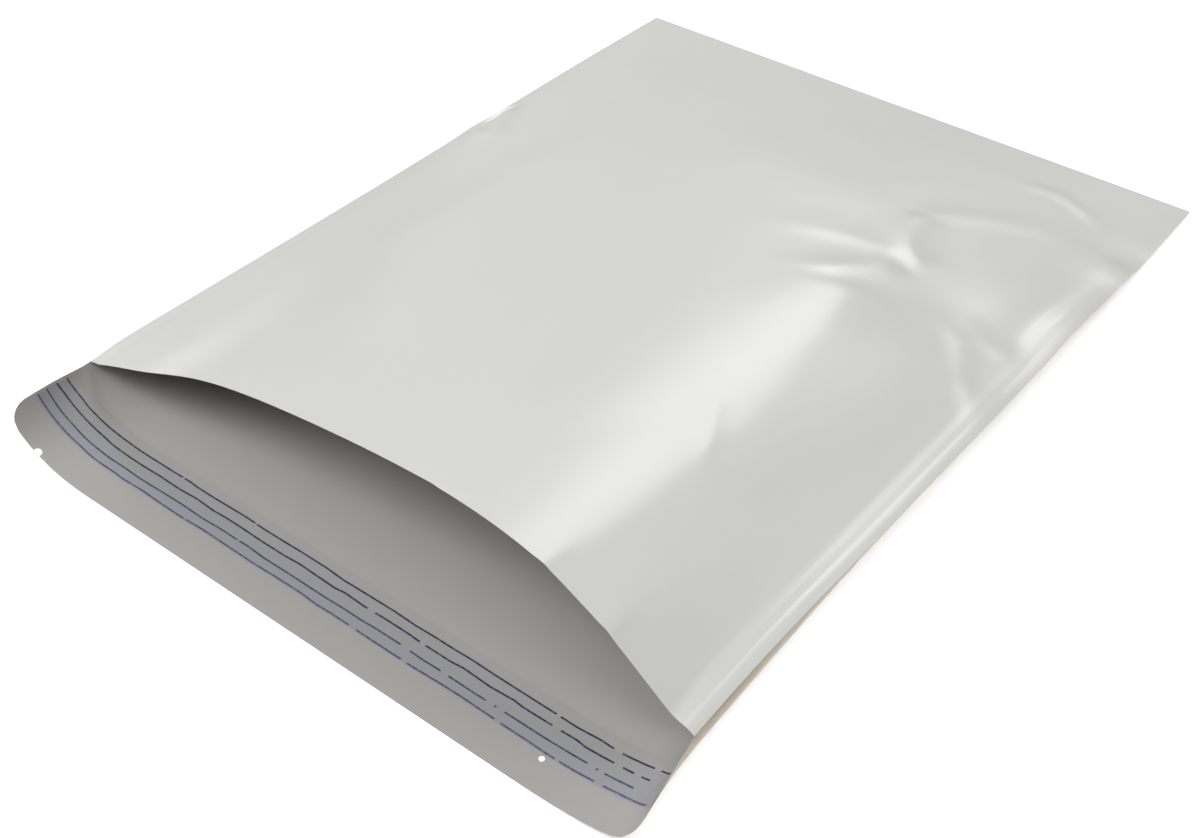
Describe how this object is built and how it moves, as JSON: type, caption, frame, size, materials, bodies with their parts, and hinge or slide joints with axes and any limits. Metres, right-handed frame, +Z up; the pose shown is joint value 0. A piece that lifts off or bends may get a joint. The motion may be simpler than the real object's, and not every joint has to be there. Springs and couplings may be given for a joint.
{
  "type": "poly mailer bag",
  "caption": "Open poly mailer bag lying flat: white plastic film, grey inside, arched mouth, and a closure lip with an adhesive strip under a lined release liner.",
  "frame": {"origin": "on the floor under the middle of the bag's bounding box, lip included", "axes": "+Z up out of the front panel, +Y from the closure lip towards the folded bottom, +X to the right seen from above with the mouth nearest"},
  "size_m": [0.305, 0.431, 0.0516],
  "materials": {
    "mailer_film": "satin",
    "adhesive": "gloss",
    "release_film": "gloss"
  },
  "bodies": {
    "root": {"bag_film": "mailer_film", "adhesive_strip": "adhesive", "release_liner": "release_film"}
  },
  "joints": []
}
